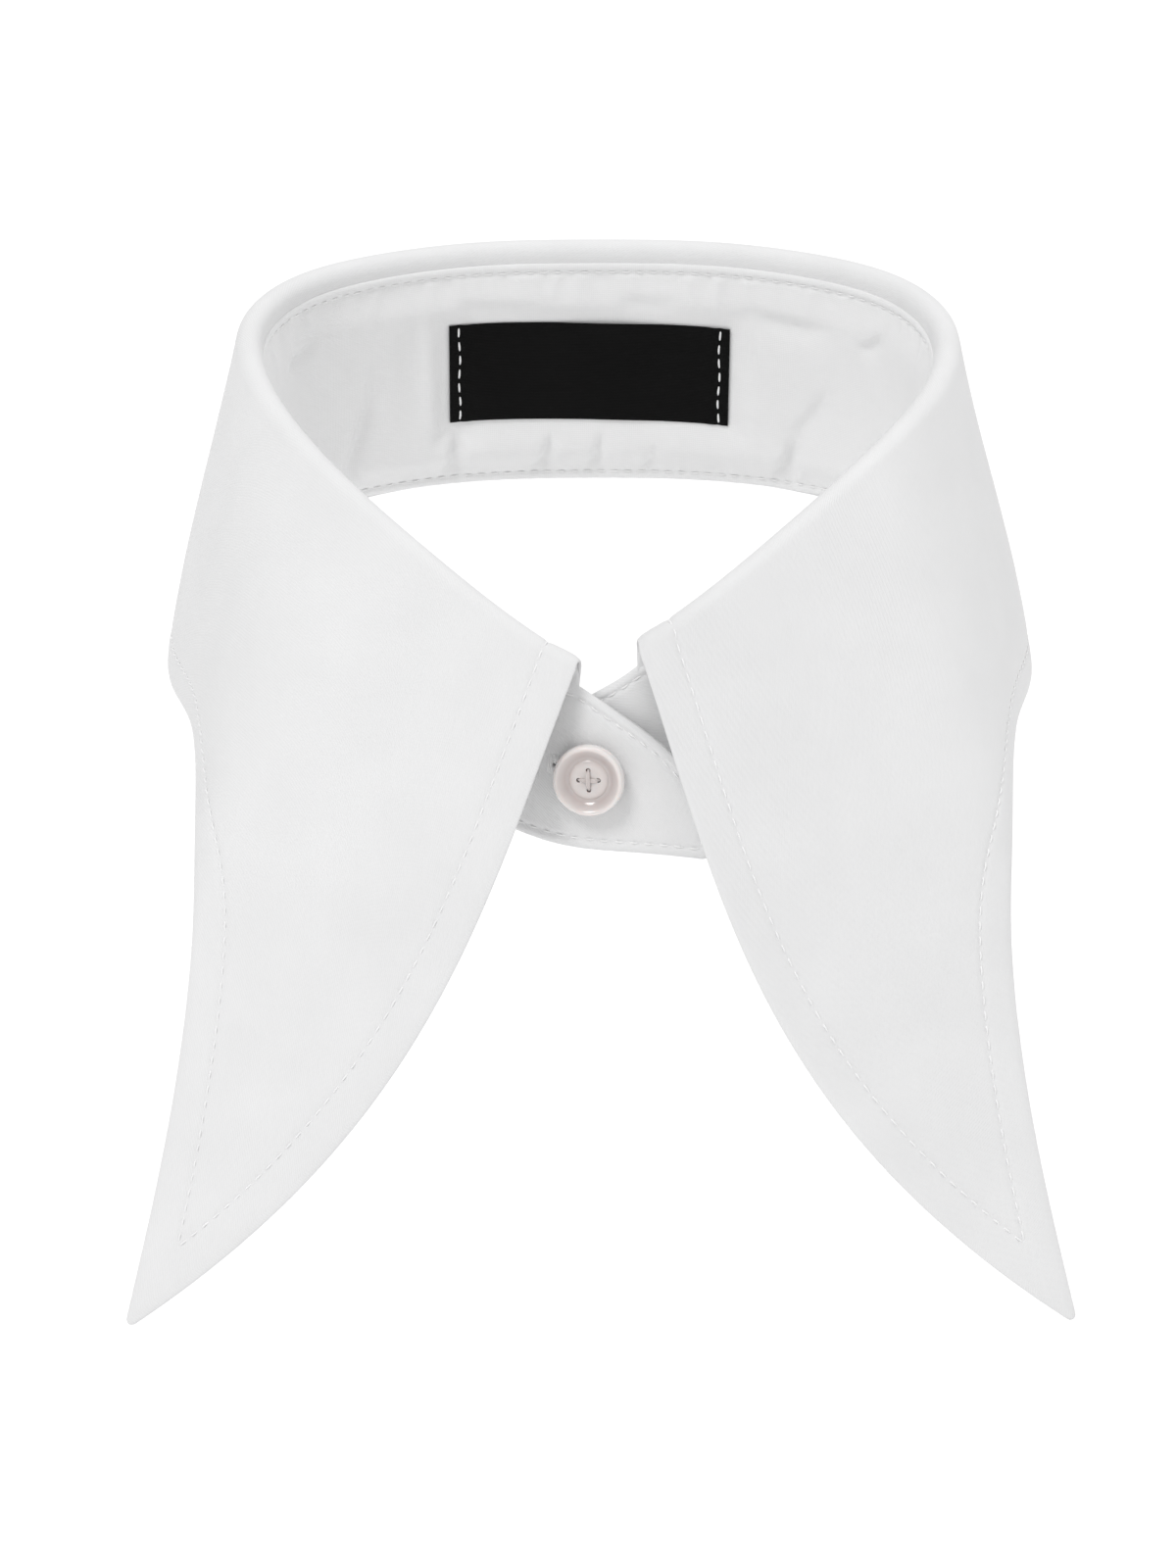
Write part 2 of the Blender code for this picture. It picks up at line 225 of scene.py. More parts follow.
def bell(values, width):
    return np.exp(-(values / width) ** 2)


def smooth_curve(keys, values, at):
    """A natural cubic spline through the values at the keys, read at each of the places asked for."""
    keys = np.asarray(keys, float)
    values = np.asarray(values, float)
    count = len(keys)
    gaps = np.diff(keys)
    system = np.eye(count)
    target = np.zeros_like(values)
    for i in range(1, count - 1):
        system[i, i - 1:i + 2] = gaps[i - 1], 2 * (gaps[i - 1] + gaps[i]), gaps[i]
        target[i] = 6 * ((values[i + 1] - values[i]) / gaps[i] - (values[i] - values[i - 1]) / gaps[i - 1])
    bend = np.linalg.solve(system, target)
    at = np.asarray(at, float)
    i = np.clip(np.searchsorted(keys, at, side="right") - 1, 0, count - 2)
    gap = gaps[i][:, None]
    after = (at - keys[i])[:, None]
    before = gap - after
    cubic = (bend[i] * before ** 3 + bend[i + 1] * after ** 3) / (6 * gap)
    line = (values[i] / gap - bend[i] * gap / 6) * before
    return cubic + line + (values[i + 1] / gap - bend[i + 1] * gap / 6) * after


def neck_to_world(points):
    """Turns points or directions from the neck's own frame to the world."""
    across, along, height = np.moveaxis(np.asarray(points, float), -1, 0)
    return np.stack([
        across,
        along * math.cos(NECK_TILT) - height * math.sin(NECK_TILT),
        along * math.sin(NECK_TILT) + height * math.cos(NECK_TILT)], axis=-1)


def mirrored(rows, turned):
    """The same rows on the other half, where the values in the turned columns change their sign."""
    signs = [-1.0 if column in turned else 1.0 for column in range(len(rows[0]))]
    return tuple(tuple(sign * value for sign, value in zip(signs, row)) for row in rows)


class Neck:
    """The band's lower edge as one run, from the tab that laps over, round the back, to the end under it."""

    def __init__(self):
        self.rows = np.array(
            OVER_END_ROWS[::-1] + mirrored(BAND_ROWS[:0:-1], (ACROSS, SKEW))
            + BAND_ROWS + UNDER_END_ROWS, float)
        steps = np.linalg.norm(np.diff(self.rows[:, :2], axis=0), axis=1)
        self.runs = np.concatenate([[0.0], np.cumsum(steps)])
        self.end = self.runs[-1]
        self.back_run = self.runs[len(OVER_END_ROWS) + len(BAND_ROWS) - 1]
        self.leaf_from = self.runs[len(OVER_END_ROWS) - 1]
        self.leaf_to = self.runs[-len(UNDER_END_ROWS)]
        self.leaf_rows = np.array(mirrored(LEAF_ROWS[:0:-1], (EDGE_X,)) + LEAF_ROWS, float)
        self.leaf_runs = self.runs[len(OVER_END_ROWS) - 1:-len(UNDER_END_ROWS) + 1]

    def read(self, at):
        return smooth_curve(self.runs, self.rows, at)

    def run_at(self, across):
        """The run where the end that laps over passes a place across the front."""
        tries = np.linspace(0.0, self.leaf_from + FRONT_REACH, RUN_TRIES)
        return tries[np.argmin(abs(self.read(tries)[:, ACROSS] - across))]

    def frames(self, at):
        """For each run: its row, the point on the lower edge, and the ways square out of the cloth and up."""
        rows = self.read(at)
        ahead = unit(self.read(at + 0.2)[:, :2] - self.read(at - 0.2)[:, :2])
        level_out = np.stack([-ahead[:, 1], ahead[:, 0], np.zeros(len(ahead))], axis=1)
        lean = (rows[:, LEAN] / rows[:, HEIGHT])[:, None]
        upright = np.sqrt(1 - lean ** 2)
        height = np.array([0.0, 0.0, 1.0])
        up = height * upright - level_out * lean
        out = level_out * upright + height * lean
        return rows, rows[:, :3], out, up

    def band_height(self, at):
        """The band's height up its slope, with the ends cut down past the leaf."""
        rows = self.read(at)
        past = np.maximum(self.leaf_from - at, at - self.leaf_to)
        length = np.where(at < self.back_run, self.leaf_from, self.end - self.leaf_to)
        share = np.clip(past / length, 0.0, 1.0) ** TAB_SQUARENESS
        drop = TAB_DROP * (1 - (1 - share) ** (1 / TAB_SQUARENESS))
        return rows[:, HEIGHT] + rows[:, SKEW] - drop

    def band_points(self, runs, heights):
        """World points of the band's middle surface, for arrays of runs and heights up the slope."""
        _, foot, out, up = self.frames(runs.ravel())
        return neck_to_world(foot + up * heights.reshape(-1, 1)).reshape(runs.shape + (3,))


def steps_between(*marks_and_steps):
    """Places through marks, with a step between each pair: mark, step, mark, step, mark."""
    places = [marks_and_steps[0]]
    for start, step, stop in zip(marks_and_steps[:-2:2], marks_and_steps[1::2], marks_and_steps[2::2]):
        count = max(1, round((stop - start) / step))
        places.extend(np.linspace(start, stop, count + 1)[1:])
    return np.array(places)


def with_near_edges(places):
    """The same places with closer ones beside the first and the last, for a rounded edge."""
    near = np.array(NEAR_EDGE)
    inner = places[(places > places[0] + near[-1] * 1.3) & (places < places[-1] - near[-1] * 1.3)]
    return np.concatenate([places[0] + near, inner, places[-1] - near[::-1]])


def round_corner(points, corner, side_a, side_b, radius):
    """Draws the cloth in at a corner between two straight sides, so that its outline there is an arc."""
    inward = unit(side_a + side_b)
    half = math.acos(float(np.clip(side_a @ inward, -1.0, 1.0)))
    reach = radius / math.sin(half)
    centre = corner + inward * reach
    normal = unit(np.cross(side_a, side_b))
    sideways = np.cross(normal, inward)
    away = points - centre
    outward_part = -(away @ inward)
    side_part = away @ sideways
    angle = abs(np.arctan2(side_part, outward_part))
    opening = math.pi / 2 - half
    in_corner = (angle < opening) & (np.hypot(outward_part, side_part) < reach * 1.1)
    scale = np.where(in_corner, np.cos(opening - angle), 1.0)
    moved = centre - (outward_part * scale)[..., None] * inward + (side_part * scale)[..., None] * sideways
    return np.where(in_corner[..., None], moved + (away @ normal)[..., None] * normal, points)


def leaf_grid(neck, runs):
    """The middle of the leaf's cloth, from the seam over the roll to the lower edge, finest near it."""
    rows, foot, out, up = neck.frames(runs)
    leaf = smooth_curve(neck.leaf_runs, neck.leaf_rows, runs)
    top = neck_to_world(foot + up * (neck.band_height(runs) + SEAM_GAP)[:, None])
    out = neck_to_world(out)
    up = neck_to_world(up)
    rise = (rows[:, RISE] - ROLL_RADIUS)[:, None]
    edge = leaf[:, :3].copy()
    edge[:, EDGE_X] -= leaf[:, SWING]
    centre = top + up * rise + out * ROLL_RADIUS
    fall = edge - centre
    turn = np.arctan2(-(fall * up).sum(axis=1), (fall * out).sum(axis=1))
    columns = [top - up * 1.3, top - up * 0.5, top, top + up * rise * 0.5, top + up * rise]
    for part in range(1, ROLL_PARTS + 1):
        angle = (-math.pi / 2 + (turn + math.pi / 2) * part / ROLL_PARTS)[:, None]
        columns.append(centre + ROLL_RADIUS * (out * np.sin(angle) + up * np.cos(angle)))
    start = columns[-1]
    length = np.linalg.norm(edge - start, axis=1)
    place = (runs - neck.leaf_from) / (neck.leaf_to - neck.leaf_from) * 2 - 1
    near_front = np.clip((abs(place) - FRONT_BOW_FROM) / (1 - FRONT_BOW_FROM), 0.0, 1.0) ** 2
    centreward = np.where(place < 0, LEFT_FRONT_BOW, -RIGHT_FRONT_BOW) * near_front
    near_lower = np.concatenate([np.arange(FINE_ZONE, NEAR_EDGE[-1] + 0.2, -FINE_STEP), NEAR_EDGE[::-1]])
    shares = [part * (1 - FINE_ZONE / length) for part in np.linspace(0.0, 1.0, FALL_PARTS + 1)[1:-1]]
    shares += [1 - distance / length for distance in near_lower]
    for share in shares:
        low_arch = LOW_ARCH_SCALE * share ** 2 * (1 - share)
        even_arch = EVEN_ARCH_SCALE * share * (1 - share)
        point = start + (edge - start) * share[:, None] + out * (leaf[:, SWELL] * low_arch)[:, None]
        point[:, 0] += centreward * (low_arch + even_arch) / 2
        point[:, 1] -= FORWARD_BOW * near_front * even_arch
        columns.append(point)
    points = np.stack(columns, axis=1)
    for end, beside in ((0, 8), (-1, -9)):
        corner = points[end, -1]
        up_front = unit(points[end, -12] - corner)
        along_edge = unit(points[beside, -1] - corner)
        points = round_corner(points, corner, up_front, along_edge, TIP_RADIUS)
    return points


def grid_normals(points):
    along = np.gradient(points, axis=0)
    across = np.gradient(points, axis=1)
    return unit(np.cross(along, across))


def way_inward(points, gap):
    """The way in the cloth along which the distance from the border grows fastest."""
    way = np.zeros(points.shape)
    for axis in (0, 1):
        step = np.gradient(points, axis=axis)
        square = np.maximum((step ** 2).sum(axis=-1), 1e-6)
        way += step * (np.gradient(gap, axis=axis) / square)[..., None]
    return unit(way)


def soft_waves(a, b, seed):
    """A smooth field between about -1 and 1, made of a few sines in the cloth's own directions."""
    rng = np.random.default_rng(seed)
    total = np.zeros(np.broadcast(a, b).shape)
    for _ in range(6):
        way = rng.uniform(0, 2 * math.pi)
        pace = rng.uniform(0.6, 1.7)
        total += np.sin((a * math.cos(way) + b * math.sin(way)) * pace + rng.uniform(0, 6.3))
    return total / 3.2


def dense(points, step):
    """The same line with a point every step."""
    run = np.concatenate([[0.0], np.cumsum(np.linalg.norm(np.diff(points, axis=0), axis=1))])
    at = np.linspace(0.0, run[-1], max(2, int(run[-1] / step) + 1))
    return np.stack([np.interp(at, run, points[:, i]) for i in range(points.shape[1])], axis=1)


def distances(points, line):
    """How far each point of a grid is from the nearest point of a line."""
    border = dense(line, BORDER_STEP)
    tree = KDTree(len(border))
    for i, place in enumerate(border):
        tree.insert(place, i)
    tree.balance()
    found = np.array([tree.find(place)[2] for place in points.reshape(-1, 3)])
    return found.reshape(points.shape[:2])


def read_grid(grid, places):
    """Values of a grid at fractional rows and columns."""
    i = np.clip(places[:, 0].astype(int), 0, grid.shape[0] - 2)
    j = np.clip(places[:, 1].astype(int), 0, grid.shape[1] - 2)
    u = places[:, :1] - i[:, None]
    v = places[:, 1:2] - j[:, None]
    first = grid[i, j] * (1 - u) + grid[i + 1, j] * u
    second = grid[i, j + 1] * (1 - u) + grid[i + 1, j + 1] * u
    return first * (1 - v) + second * v


def crossing(values, level):
    """The fractional place where values pass a level for the first time, or None."""
    over = values >= level
    change = np.nonzero(over[1:] != over[:-1])[0]
    if len(change) == 0:
        return None
    k = change[0]
    return k + (level - values[k]) / (values[k + 1] - values[k])


def link(name, mesh, look):
    made = bpy.data.objects.new(name, mesh)
    bpy.context.scene.collection.objects.link(made)
    mesh.materials.append(look)
    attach(made, BODY)
    return made


def shell(name, front, back, look, left_out=None):
    """A closed sheet between two grids of points, with the cloth's own directions as UV."""
    rows, columns = front.shape[:2]
    count = rows * columns
    verts = np.concatenate([front.reshape(-1, 3), back.reshape(-1, 3)]) * MM
    index = np.arange(count).reshape(rows, columns)
    a, b, c, d = index[:-1, :-1], index[1:, :-1], index[1:, 1:], index[:-1, 1:]
    kept = np.ones(a.shape, bool) if left_out is None else ~left_out
    faces = [np.stack([a, b, c, d], axis=-1)[kept], np.stack([a, d, c, b], axis=-1)[kept] + count]
    padded = np.pad(kept, 1)
    borders = (
        (padded[:-2, 1:-1], a, d),
        (padded[2:, 1:-1], c, b),
        (padded[1:-1, :-2], b, a),
        (padded[1:-1, 2:], d, c))
    for beside, first, second in borders:
        open_side = kept & ~beside
        p, q = first[open_side], second[open_side]
        faces.append(np.stack([p, q, q + count, p + count], axis=-1))
    mesh = bpy.data.meshes.new(name)
    mesh.from_pydata(verts.tolist(), [], np.concatenate(faces).tolist())
    along = np.linalg.norm(np.diff(front, axis=0, prepend=front[:1]), axis=-1).mean(axis=1).cumsum()
    across = np.linalg.norm(np.diff(front, axis=1, prepend=front[:, :1]), axis=-1).cumsum(axis=1)
    across -= across[:, -1:]
    flat = np.stack([np.broadcast_to(along[:, None], across.shape), across], axis=-1).reshape(-1, 2) * MM
    loops = np.zeros(len(mesh.loops), int)
    mesh.loops.foreach_get("vertex_index", loops)
    mesh.uv_layers.new(name="cloth").data.foreach_set("uv", np.tile(flat, (2, 1))[loops].ravel())
    work = bmesh.new()
    work.from_mesh(mesh)
    bmesh.ops.delete(work, geom=[v for v in work.verts if not v.link_faces], context="VERTS")
    work.to_mesh(mesh)
    work.free()
    mesh.shade_smooth()
    return link(name, mesh, look)


def ply(name, points, offset, gap, look, relief, thickness=PLY, left_out=None):
    """One ply of cloth beside the middle surface, with relief on its shown side and a rounded free edge.

    Gives the object, the shown surface's points and the way square out of it.
    """
    normals = grid_normals(points)
    rounding = np.sqrt(np.clip(1 - (1 - np.clip(gap / EDGE_ROUND, 0, 1)) ** 2, 0.01, 1.0))
    half = thickness / 2 * rounding
    shown = 1.0 if offset > 0 else -1.0
    middle = offset + shown * relief
    front = points + normals * (middle + half)[..., None]
    back = points + normals * (middle - half)[..., None]
    piece = shell(name, front, back, look, left_out)
    return piece, (front if shown > 0 else back), normals * shown


def groove(gap, inset):
    """The dent along a row of stitches, and the soft ridge between it and the edge."""
    return 0.10 * np.sin(np.pi * np.clip(gap / inset, 0, 1)) - GROOVE_DEPTH * bell(gap - inset, GROOVE_WIDTH)


def tube(spine, normal, radii, sides=6):
    """Verts and faces of a closed thread along a spine."""
    ahead = unit(np.gradient(spine, axis=0))
    side = unit(np.cross(ahead, normal))
    normal = np.cross(side, ahead)
    verts = []
    for ring in range(len(spine)):
        for s in range(sides):
            angle = 2 * math.pi * s / sides
            way = side[ring] * math.cos(angle) + normal[ring] * math.sin(angle)
            verts.append(spine[ring] + radii[ring] * way)
    faces = [tuple(range(sides)), tuple((len(spine) - 1) * sides + s for s in range(sides))[::-1]]
    for ring in range(len(spine) - 1):
        low = ring * sides
        for s in range(sides):
            t = (s + 1) % sides
            faces.append((low + s, low + sides + s, low + sides + t, low + t))
    return verts, faces


def stitches(path, normals, pitch=STITCH_PITCH, radius=THREAD_RADIUS):
    """Short threads along a path, each bowed a little and sunk into the cloth at both ends."""
    run = np.concatenate([[0.0], np.cumsum(np.linalg.norm(np.diff(path, axis=0), axis=1))])
    count = int(run[-1] / pitch)
    places = np.linspace(0.0, 1.0, 6)
    bow = np.sin(np.pi * (0.03 + 0.94 * places))
    made = []
    for k in range(count):
        at = (k + (1 - STITCH_SHARE) / 2 + STITCH_SHARE * places) * run[-1] / count
        spine = np.stack([np.interp(at, run, path[:, i]) for i in range(3)], axis=1)
        normal = unit(np.stack([np.interp(at, run, normals[:, i]) for i in range(3)], axis=1))
        spine = spine + normal * ((bow[:, None] - THREAD_SINK) * radius * THREAD_LIFT)
        made.append(tube(spine, normal, radius * (0.6 + 0.4 * bow)))
    return made


def thread(spine, normal, radius=THREAD_RADIUS):
    """One thread along a spine, thinner at its two ends."""
    radii = np.full(len(spine), radius)
    radii[[0, -1]] *= 0.6
    return tube(spine, np.broadcast_to(normal, spine.shape), radii)


def thread_piece(name, tubes, look):
    """One object made of all the threads given."""
    verts = []
    faces = []
    for more, quads in tubes:
        faces += [tuple(i + len(verts) for i in quad) for quad in quads]
        verts += more
    mesh = bpy.data.meshes.new(name)
    mesh.from_pydata((np.array(verts) * MM).tolist(), [], faces)
    mesh.shade_smooth()
    return link(name, mesh, look)


def make_leaf(neck, looks):
    """Both plies of the leaf, the upper one rolled a little past the under one at the free edges."""
    runs = with_near_edges(steps_between(
        neck.leaf_from, 0.45, neck.leaf_from + 18, 1.7, neck.leaf_to - 18, 0.45, neck.leaf_to))
    points = leaf_grid(neck, runs)
    to_left = distances(points, points[0, 2:])
    to_right = distances(points, points[-1, 2:])
    to_lower = distances(points, points[:, -1])
    gap = np.minimum(np.minimum(to_left, to_right), to_lower)
    depth = np.linalg.norm(np.diff(points, axis=1, prepend=points[:, :1]), axis=-1).cumsum(axis=1)
    run_field = np.broadcast_to(runs[:, None], depth.shape)
    calm = smooth_step(gap, 1.0, 14.0) * smooth_step(depth, 6.0, 22.0)
    relief = groove(gap, LEAF_STITCH_INSET) + 0.30 * soft_waves(run_field / 17, depth / 15, 7) * calm
    relief += 0.035 * np.sin(soft_waves(run_field / 4, depth / 4, 11) * 4) * bell(gap - 4.5, 3.0)
    curl = -EDGE_CURL * bell(gap, 0.9)
    upper, shown, out = ply(
        "leaf_upper_cloth", points, PLY_OFFSET, gap, looks["satin"], relief + curl)
    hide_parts("collar_upper")
    pulled = points + way_inward(points, gap) * (UNDER_INSET * np.exp(-gap / 2.5) * (depth > 3))[..., None]
    under, under_shown, under_out = ply(
        "leaf_under_cloth", pulled, -PLY_OFFSET, gap, looks["satin"],
        relief * 0.6 + curl * 0.4)
    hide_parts("collar_under")
    path = leaf_stitch_path(to_left, to_right, to_lower)
    threads = stitches(read_grid(shown, path), read_grid(out, path))
    threads += stitches(read_grid(under_shown, path), read_grid(under_out, path))
    sewing = thread_piece("leaf_topstitching", threads, looks["thread"])


def leaf_stitch_path(to_left, to_right, to_lower):
    """Fractional grid places of the topstitching: down one front edge, round the lower edge, up the other."""
    inset = LEAF_STITCH_INSET
    rows, columns = to_lower.shape
    middle_row, first_column = rows // 2, columns // 3
    left, right, lower = [], [], []
    for j in range(2, columns):
        i = crossing(to_left[:middle_row, j], inset)
        if i is not None and np.interp(i, range(rows), to_lower[:, j]) > inset:
            left.append((i, j))
        i = crossing(to_right[middle_row:, j], inset)
        if i is not None and np.interp(i + middle_row, range(rows), to_lower[:, j]) > inset:
            right.append((i + middle_row, j))
    for i in range(rows):
        j = crossing(to_lower[i, first_column:], inset)
        if j is None:
            continue
        to_fronts = [np.interp(j + first_column, range(columns), field[i]) for field in (to_left, to_right)]
        if min(to_fronts) > inset:
            lower.append((i, j + first_column))
    return np.array(left + lower + right[::-1], float)


def crease_relief(runs, heights):
    """The depth of the lining's creases, each steeper on one side than on the other."""
    relief = np.zeros(runs.shape)
    for run_a, height_a, run_b, height_b, width, depth in LINING_CREASES:
        start = np.array([run_a, height_a])
        way = np.array([run_b, height_b]) - start
        length = np.linalg.norm(way)
        way = way / length
        along = (runs - start[0]) * way[0] + (heights - start[1]) * way[1]
        beside = -(runs - start[0]) * way[1] + (heights - start[1]) * way[0]
        bend = beside + 0.6 * np.sin(along / length * 3.0)
        comes = smooth_step(along, -0.12 * length, 0.18 * length)
        goes = 1 - smooth_step(along, 0.45 * length, 1.15 * length)
        relief += CREASE_SCALE * depth * bell(bend, width * np.where(bend > 0, 0.55, 1.3)) * comes * goes
    return relief


def gathers(runs, from_seam, seed, height, reach, spread):
    """Small folds that leave a seam square to it and fade out."""
    rng = np.random.default_rng(seed)
    relief = np.zeros(runs.shape)
    place = -spread
    while place < spread:
        size = rng.uniform(0.35, 1.0) * height
        width = rng.uniform(0.7, 1.4)
        fade = rng.uniform(0.5, 1.3) * reach
        lean = rng.uniform(-0.25, 0.25)
        beside = runs - place - lean * from_seam
        relief += size * bell(beside, width) * np.exp(-np.maximum(from_seam, 0) / fade)
        place += rng.uniform(2.2, 6.5)
    return relief


def band_outline_path(neck, inset):
    """Runs and heights of a closed line this far inside the band's edge."""
    runs = np.linspace(0.0, neck.end, 1600)
    height = neck.band_height(runs)
    slope = np.gradient(height, runs)
    steep = np.sqrt(1 + slope ** 2)
    top = np.stack([runs + inset * slope / steep, height - inset / steep], axis=1)
    top = top[(top[:, 0] > inset) & (top[:, 0] < neck.end - inset) & (top[:, 1] > inset)]
    top = top[np.argsort(top[:, 0])]
    low = np.array([[inset, inset], [neck.end - inset, inset]])
    return dense(np.concatenate([low, top[::-1], low[:1]]), 0.3)


def band_shares(height):
    """Shares of the band's height for each section, closest at both edges, with the buttonhole's two lips."""
    height = height[:, None]
    near = np.array(NEAR_EDGE)[None] / height
    low_lip = BUTTON_LEVEL - BUTTONHOLE_HALF_WIDTH / height
    high_lip = BUTTON_LEVEL + BUTTONHOLE_HALF_WIDTH / height
    edge_zone = 0.115
    edge_steps = np.linspace(0, 1, 14)[1:]
    shares = [
        near,
        near[:, -1:] + (edge_zone - near[:, -1:]) * edge_steps,
        edge_zone + (low_lip - edge_zone) * np.linspace(0, 1, 18)[1:],
        high_lip,
        high_lip + (1 - edge_zone - high_lip) * np.linspace(0, 1, 20)[1:],
        1 - edge_zone + (edge_zone - near[:, -1:]) * edge_steps,
        1 - near[:, -2::-1]]
    slot_column = sum(part.shape[1] for part in shares[:3]) - 1
    return np.concatenate(shares, axis=1), slot_column


def make_band(neck, looks):
    """The band's outer and inner ply, with its edge stitching and the buttonhole."""
    hole_to, hole_from = neck.run_at(BUTTONHOLE_TO), neck.run_at(BUTTONHOLE_FROM)
    runs = with_near_edges(steps_between(
        0.0, 0.45, hole_to, 0.45, hole_from, 0.7, neck.leaf_from + 20, 1.3, neck.back_run - 95,
        0.75, neck.back_run + 95, 1.3, neck.leaf_to, 0.7, neck.end))
    height = neck.band_height(runs)
    shares, slot_column = band_shares(height)
    flat = np.stack([
        np.broadcast_to(runs[:, None], shares.shape), shares * height[:, None], 0 * shares], axis=-1)
    side, upward = np.array([1.0, 0.0, 0.0]), np.array([0.0, 1.0, 0.0])
    flat = round_corner(flat, np.zeros(3), side, upward, TAB_CORNER_RADIUS)
    flat = round_corner(flat, np.array([neck.end, 0.0, 0.0]), -side, upward, TAB_CORNER_RADIUS)
    run_field, height_field = flat[..., 0], flat[..., 1]
    points = neck.band_points(run_field, height_field)
    gap = distances(flat, np.concatenate([flat[:, 0], flat[-1], flat[::-1, -1], flat[0, ::-1]]))
    from_top = neck.band_height(run_field.ravel()).reshape(run_field.shape) - height_field
    under_leaf = smooth_step(run_field, neck.leaf_from - 1, neck.leaf_from + 4) * (
        1 - smooth_step(run_field, neck.leaf_to - 4, neck.leaf_to + 1))
    flare = SEAM_FLARE * (1 - smooth_step(from_top, 0.9, 2.8)) * under_leaf
    left_out = np.zeros((len(runs) - 1, shares.shape[1] - 1), bool)
    left_out[(runs[:-1] >= hole_to - 1e-6) & (runs[1:] <= hole_from + 1e-6), slot_column] = True
    curl = -EDGE_CURL * bell(gap, 0.9) * (1 - (1 - smooth_step(from_top, 1.0, 2.5)) * under_leaf)
    edge = groove(gap, BAND_STITCH_INSET) + curl + flare
    calm = smooth_step(gap, 1.0, 8.0)
    waves = 0.14 * soft_waves(run_field / 9, height_field / 9, 3) * calm
    outer, outer_shown, outer_out = ply(
        "band_outer_cloth", points, -PLY_OFFSET, gap, looks["satin"], edge + waves,
        left_out=left_out)
    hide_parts("stand_outer")

    from_back = run_field - neck.back_run
    from_ends = np.minimum(run_field, neck.end - run_field)
    beside_label = np.maximum(
        abs(from_back - LABEL_SHIFT) - LABEL_WIDTH / 2, abs(height_field - LABEL_LEVEL) - LABEL_HEIGHT / 2)
    puffed = smooth_step(from_top, 1.7, 8.0) * smooth_step(height_field, 1.7, 7.0)
    lining = LINING_PUFF * puffed - crease_relief(from_back, height_field)
    lining += gathers(from_back, from_top - 1.5, 5, 0.75, 5.0, 78.0) * smooth_step(from_top, 1.6, 3.0)
    lining += gathers(from_back, height_field - 1.8, 9, 0.45, 3.5, 78.0) * smooth_step(height_field, 1.8, 3.0)
    lining += 0.40 * soft_waves(run_field / 10, height_field / 8, 21) * calm
    lining += 0.09 * (1 - smooth_step(height_field, 8.0, 8.7)) * calm
    lining = np.maximum(lining, -0.12) * smooth_step(beside_label, -0.5, 4.5)
    lining = lining * smooth_step(from_ends, 8.0, 30.0)
    inner, inner_shown, inner_out = ply(
        "band_lining_cloth", points, PLY_OFFSET, gap, looks["poplin"], edge + lining,
        left_out=left_out)
    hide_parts("stand_inner")

    path = band_outline_path(neck, BAND_STITCH_INSET)
    row_place = np.interp(path[:, 0], runs, range(len(runs)))
    share = path[:, 1] / neck.band_height(path[:, 0])
    column_place = [
        np.interp(value, shares[int(row)], range(shares.shape[1])) for row, value in zip(row_place, share)]
    places = np.stack([row_place, column_place], axis=1)
    outer_threads = stitches(read_grid(outer_shown, places), read_grid(outer_out, places))
    outer_sewing = thread_piece("band_outer_stitching", outer_threads, looks["thread"])
    inner_threads = stitches(read_grid(inner_shown, places), read_grid(inner_out, places))
    inner_sewing = thread_piece("band_lining_stitching", inner_threads, looks["thread"])
    make_buttonhole(neck, looks, hole_to, hole_from)
    return inner_shown, inner_out


def make_buttonhole(neck, looks, hole_to, hole_from):
    """Close stitches across both lips of the buttonhole, outside and inside, and a bar at each end."""
    rng = np.random.default_rng(4)
    places = np.arange(hole_to - 0.3, hole_from + 0.31, 0.3)
    _, foot, out, up = neck.frames(places)
    level = neck.band_height(places) * BUTTON_LEVEL
    lift = PLY_OFFSET + PLY / 2 + 0.05
    lip = BUTTONHOLE_HALF_WIDTH - 0.06
    bow = np.array([0.0, 0.14, 0.18, 0.14, 0.0])[:, None]
    tubes = []
    for shown in (1.0, -1.0):
        for k in range(len(places)):
            low, high = rng.uniform(-0.16, 0.16, 2) + (-BUTTONHOLE_STITCH, BUTTONHOLE_STITCH)
            at_end = k < 3 or k >= len(places) - 3
            for start, stop in ((low, high),) if at_end else ((low, -lip), (lip, high)):
                heights = np.linspace(start, stop, 5)[:, None]
                spine = foot[k] + up[k] * (level[k] + heights) + out[k] * shown * (lift + bow)
                tubes.append(thread(neck_to_world(spine), neck_to_world(out[k] * shown), 0.15))
    thread_piece("buttonhole_stitching", tubes, looks["thread"])


